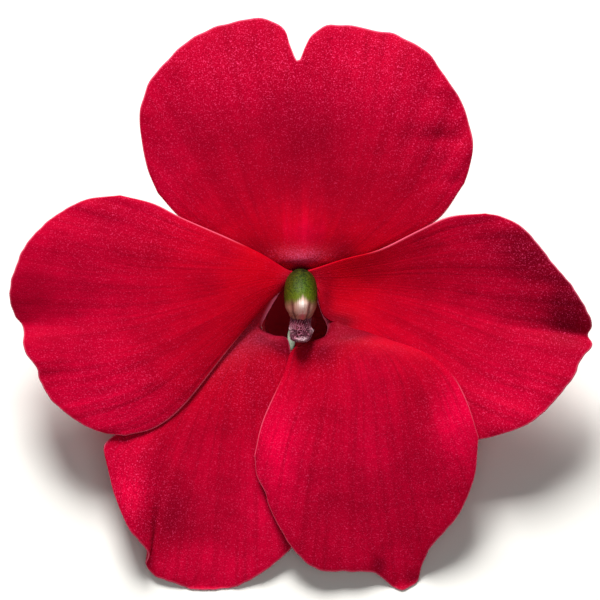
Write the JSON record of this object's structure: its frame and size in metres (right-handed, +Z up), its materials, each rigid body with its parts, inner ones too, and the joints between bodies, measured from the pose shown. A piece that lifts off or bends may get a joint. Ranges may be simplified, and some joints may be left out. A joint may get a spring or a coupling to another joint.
{
  "type": "busy lizzie flower",
  "caption": "Open busy lizzie flower, face up as picked: notched upper petal, broad overlapping lower petals, hooded stamens, a long-spurred sepal and a cut stalk.",
  "frame": {"origin": "middle of the bloom's box, on the surface that it lies on", "axes": "+Z up out of the surface, +Y towards the notched upper petal, +X across the bloom to the right of someone who looks at its face"},
  "size_m": [0.048, 0.0444, 0.0167],
  "materials": {
    "petal": "velvety",
    "spurred_sepal": "satin",
    "side_sepal": "satin",
    "stamen_hood": "waxy",
    "anthers": "matte",
    "pistil": "satin",
    "stalk": "satin"
  },
  "bodies": {
    "root": {"petal_upper": "petal", "petal_pair_left": "petal", "petal_pair_right": "petal", "sepal_spurred": "spurred_sepal", "sepal_left": "side_sepal", "sepal_right": "side_sepal", "stamen_hood": "stamen_hood", "anthers": "anthers", "pistil": "pistil", "stalk": "stalk"}
  },
  "joints": []
}
